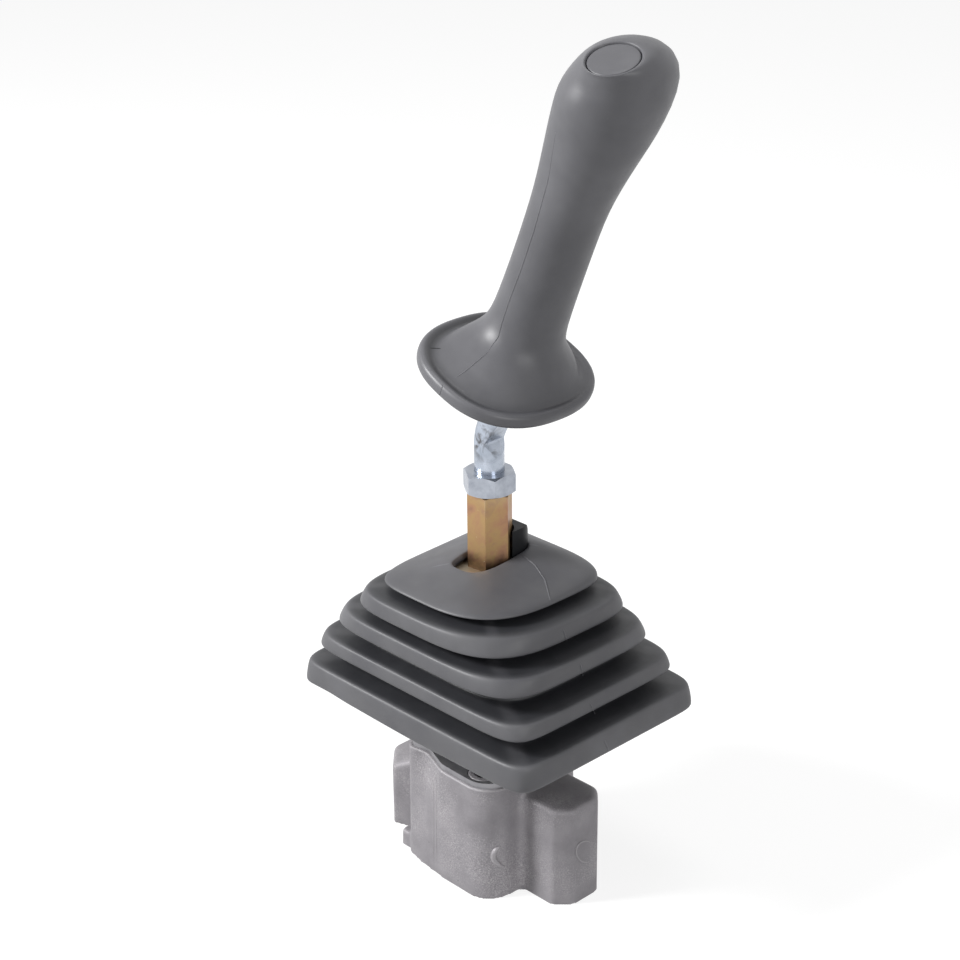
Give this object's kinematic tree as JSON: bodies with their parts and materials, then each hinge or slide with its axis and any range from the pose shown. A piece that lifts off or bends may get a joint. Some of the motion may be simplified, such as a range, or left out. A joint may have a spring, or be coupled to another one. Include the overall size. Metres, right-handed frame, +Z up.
{
  "type": "hydraulic pilot joystick valve",
  "caption": "Hydraulic pilot joystick valve: cast body, spring-centred lever on a universal joint, stepped rubber boot and a long hand grip with a flared guard.",
  "frame": {"origin": "centre of the casting's underside, on the lever's axis at neutral", "axes": "+Z up along the lever's threaded stack, +X towards the ear under which the tank port lies and to which the upper lever leans, +Y towards the nose of the grip"},
  "size_m": [0.1703, 0.1196, 0.4077],
  "materials": {
    "cast_body": "raw sand casting, blasted",
    "zinc_plate": "zinc plated, satin",
    "bright_steel": "turned, bright zinc",
    "dark_steel": "hardened and blackened",
    "yellow_zinc": "yellow passivated zinc, worn",
    "bronze": "turned bronze",
    "spring_steel": "drawn wire",
    "chromed": "ground and polished",
    "boot_rubber": "moulded, matte, dusty",
    "grip_rubber": "moulded, fine matte grain",
    "seal_rubber": "moulded, black",
    "cap_plastic": "moulded, matte"
  },
  "bodies": {
    "valve": {"valve_body": "cast_body", "cover_plate": "zinc_plate", "cover_screws": "dark_steel", "joint_base": "bright_steel", "rod_seals": "seal_rubber", "guide_rings": "seal_rubber", "rod_guide_1": "bronze", "rod_guide_2": "bronze", "rod_guide_3": "bronze", "rod_guide_4": "bronze", "return_spring_1": "spring_steel", "return_spring_2": "spring_steel", "return_spring_3": "spring_steel", "return_spring_4": "spring_steel"},
    "cross": {"joint_cross": "dark_steel", "cross_pin_long": "chromed", "cross_pins_short": "chromed"},
    "lever": {"joint_yoke": "bright_steel", "swash_disc": "dark_steel", "disc_lock_nut": "bright_steel", "hex_coupling": "yellow_zinc", "boot_washer": "yellow_zinc", "snap_ring": "spring_steel", "neck_insert": "seal_rubber", "rubber_boot": "boot_rubber", "lock_nut": "bright_steel", "lever_rod": "bright_steel", "grip": "grip_rubber", "grip_sleeve": "bright_steel", "grip_washer": "bright_steel", "grip_nut": "bright_steel", "grip_cap": "cap_plastic"},
    "plunger_1": {"push_rod_1": "chromed", "spring_seat_1": "dark_steel"},
    "spool_1_body": {"spool_1": "chromed", "metering_spring_1": "spring_steel"},
    "plunger_2": {"push_rod_2": "chromed", "spring_seat_2": "dark_steel"},
    "spool_2_body": {"spool_2": "chromed", "metering_spring_2": "spring_steel"},
    "plunger_3": {"push_rod_3": "chromed", "spring_seat_3": "dark_steel"},
    "spool_3_body": {"spool_3": "chromed", "metering_spring_3": "spring_steel"},
    "plunger_4": {"push_rod_4": "chromed", "spring_seat_4": "dark_steel"},
    "spool_4_body": {"spool_4": "chromed", "metering_spring_4": "spring_steel"}
  },
  "joints": [
    {"name": "tilt_about_y", "type": "hinge", "parent": "valve", "child": "cross", "pos_m": [0, 0, 0.078], "axis": [0, 1, 0], "range_deg": [-17, 17], "stiffness_Nm_per_rad": 7, "springref_deg": -2.06},
    {"name": "tilt_about_x", "type": "hinge", "parent": "cross", "child": "lever", "pos_m": [0, 0, 0.078], "axis": [1, 0, 0], "range_deg": [-17, 17], "stiffness_Nm_per_rad": 7},
    {"name": "rod_1_slide", "type": "slide", "parent": "valve", "child": "plunger_1", "axis": [0, 0, 1], "range_m": [-0.0065, 0.0065], "deforming": ["return_spring_1", "metering_spring_1"]},
    {"name": "spool_1_slide", "type": "slide", "parent": "valve", "child": "spool_1_body", "axis": [0, 0, 1], "range_m": [-0.0015, 0.0015]},
    {"name": "rod_2_slide", "type": "slide", "parent": "valve", "child": "plunger_2", "axis": [0, 0, 1], "range_m": [-0.0065, 0.0065], "deforming": ["return_spring_2", "metering_spring_2"]},
    {"name": "spool_2_slide", "type": "slide", "parent": "valve", "child": "spool_2_body", "axis": [0, 0, 1], "range_m": [-0.0015, 0.0015]},
    {"name": "rod_3_slide", "type": "slide", "parent": "valve", "child": "plunger_3", "axis": [0, 0, 1], "range_m": [-0.0065, 0.0065], "deforming": ["return_spring_3", "metering_spring_3"]},
    {"name": "spool_3_slide", "type": "slide", "parent": "valve", "child": "spool_3_body", "axis": [0, 0, 1], "range_m": [-0.0015, 0.0015]},
    {"name": "rod_4_slide", "type": "slide", "parent": "valve", "child": "plunger_4", "axis": [0, 0, 1], "range_m": [-0.0065, 0.0065], "deforming": ["return_spring_4", "metering_spring_4"]},
    {"name": "spool_4_slide", "type": "slide", "parent": "valve", "child": "spool_4_body", "axis": [0, 0, 1], "range_m": [-0.0015, 0.0015]}
  ],
  "couplings": [
    {"joint": "rod_1_slide", "follows": "tilt_about_y", "m_per_rad": -0.02086},
    {"joint": "spool_1_slide", "follows": "tilt_about_y", "m_per_rad": -0.0045},
    {"joint": "rod_2_slide", "follows": "tilt_about_x", "m_per_rad": 0.02133},
    {"joint": "spool_2_slide", "follows": "tilt_about_x", "m_per_rad": 0.0045},
    {"joint": "rod_3_slide", "follows": "tilt_about_y", "m_per_rad": 0.02086},
    {"joint": "spool_3_slide", "follows": "tilt_about_y", "m_per_rad": 0.0045},
    {"joint": "rod_4_slide", "follows": "tilt_about_x", "m_per_rad": -0.02133},
    {"joint": "spool_4_slide", "follows": "tilt_about_x", "m_per_rad": -0.0045}
  ]
}
